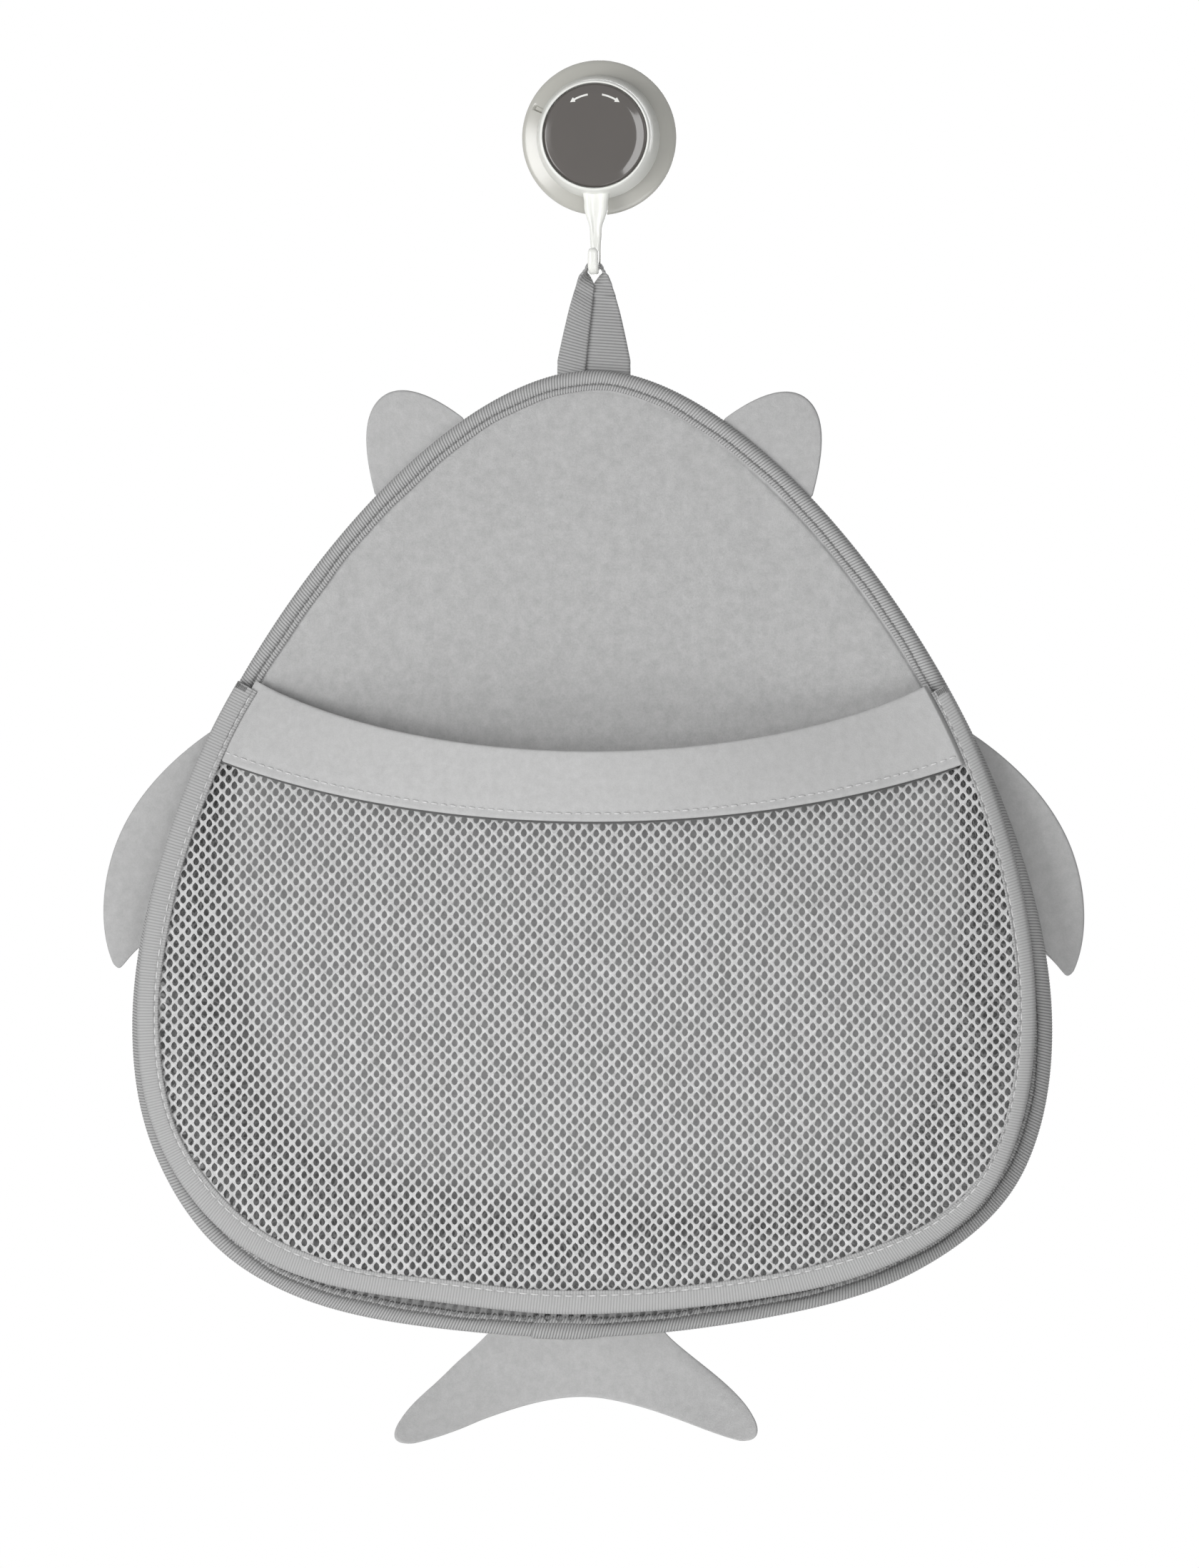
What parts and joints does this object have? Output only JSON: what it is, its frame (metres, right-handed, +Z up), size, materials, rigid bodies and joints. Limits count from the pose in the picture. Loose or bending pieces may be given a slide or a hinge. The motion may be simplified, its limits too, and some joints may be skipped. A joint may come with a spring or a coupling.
{
  "type": "bath toy organizer",
  "caption": "Flat rounded hanging bag with sewn ears, flippers and tail and a bellows mesh front pocket, on a ribbon loop and a twist-lock suction hook.",
  "frame": {"origin": "centre of the suction cup on the wall plane", "axes": "+X to the viewer's right, +Y into the wall, +Z up"},
  "size_m": [0.3804, 0.0553, 0.5342],
  "materials": {
    "cup_vinyl": "soft translucent grey",
    "white_plastic": "glossy off-white",
    "inner_plastic": "moulded",
    "pin_steel": "plain",
    "cap_plastic": "dark gloss",
    "ribbon": "grosgrain",
    "back_fabric": "plain weave",
    "board": "sheet",
    "panel_fabric": "felted neoprene",
    "tape": "ribbed tape",
    "net": "knitted mesh"
  },
  "bodies": {
    "wall_base": {"suction_cup": "cup_vinyl", "base_housing": "inner_plastic"},
    "post": {"cup_post": "inner_plastic", "cross_pin": "pin_steel"},
    "knob": {"hook_knob": "white_plastic", "knob_cap": "cap_plastic"},
    "loop": {"hanging_loop": "ribbon"},
    "bag": {"rear_skin": "back_fabric", "stiffener_board": "board", "front_skin": "panel_fabric", "back_binding": "tape", "pocket_gusset": "net"},
    "pocket": {"pocket_net": "net", "pocket_band": "panel_fabric", "front_binding": "tape"},
    "ear_left": {"left_ear": "panel_fabric"},
    "ear_right": {"right_ear": "panel_fabric"},
    "flipper_left": {"left_flipper": "panel_fabric"},
    "flipper_right": {"right_flipper": "panel_fabric"},
    "tail": {"tail_fin": "panel_fabric"}
  },
  "joints": [
    {"name": "knob_twist", "type": "hinge", "parent": "wall_base", "child": "knob", "pos_m": [0, -0.012, 0], "axis": [0, -1, 0], "range_deg": [0, 90]},
    {"name": "post_pull", "type": "slide", "parent": "wall_base", "child": "post", "axis": [0, 1, 0], "range_m": [0, 0.002]},
    {"name": "loop_swing", "type": "hinge", "parent": "knob", "child": "loop", "pos_m": [0, -0.0185, -0.0519], "axis": [0, -1, 0], "range_deg": [-90, 90]},
    {"name": "bag_tilt", "type": "hinge", "parent": "loop", "child": "bag", "pos_m": [0, -0.0185, -0.08995], "axis": [-1, 0, 0], "range_deg": [0, 50]},
    {"name": "pocket_open", "type": "hinge", "parent": "bag", "child": "pocket", "pos_m": [0, -0.0243, -0.211], "axis": [-1, 0, 0], "range_deg": [0, 10], "deforming": ["pocket_gusset"]},
    {"name": "ear_left_bend", "type": "hinge", "parent": "bag", "child": "ear_left", "pos_m": [-0.06847, -0.0185, -0.12292], "axis": [0.7511, 0, 0.6602], "range_deg": [-40, 40], "stiffness_Nm_per_rad": 0.004},
    {"name": "ear_right_bend", "type": "hinge", "parent": "bag", "child": "ear_right", "pos_m": [0.06847, -0.0185, -0.12292], "axis": [0.7511, 0, -0.6602], "range_deg": [-40, 40], "stiffness_Nm_per_rad": 0.004},
    {"name": "flipper_left_bend", "type": "hinge", "parent": "bag", "child": "flipper_left", "pos_m": [-0.16554, -0.0185, -0.27181], "axis": [0.3244, 0, 0.9459], "range_deg": [-40, 40], "stiffness_Nm_per_rad": 0.005},
    {"name": "flipper_right_bend", "type": "hinge", "parent": "bag", "child": "flipper_right", "pos_m": [0.16554, -0.0185, -0.27181], "axis": [0.3244, 0, -0.9459], "range_deg": [-40, 40], "stiffness_Nm_per_rad": 0.005},
    {"name": "tail_bend", "type": "hinge", "parent": "bag", "child": "tail", "pos_m": [0, -0.0185, -0.465], "axis": [-1, 0, 0], "range_deg": [-30, 45], "stiffness_Nm_per_rad": 0.006}
  ],
  "couplings": [
    {"joint": "post_pull", "follows": "knob_twist", "m_per_rad": 0.0012732}
  ]
}
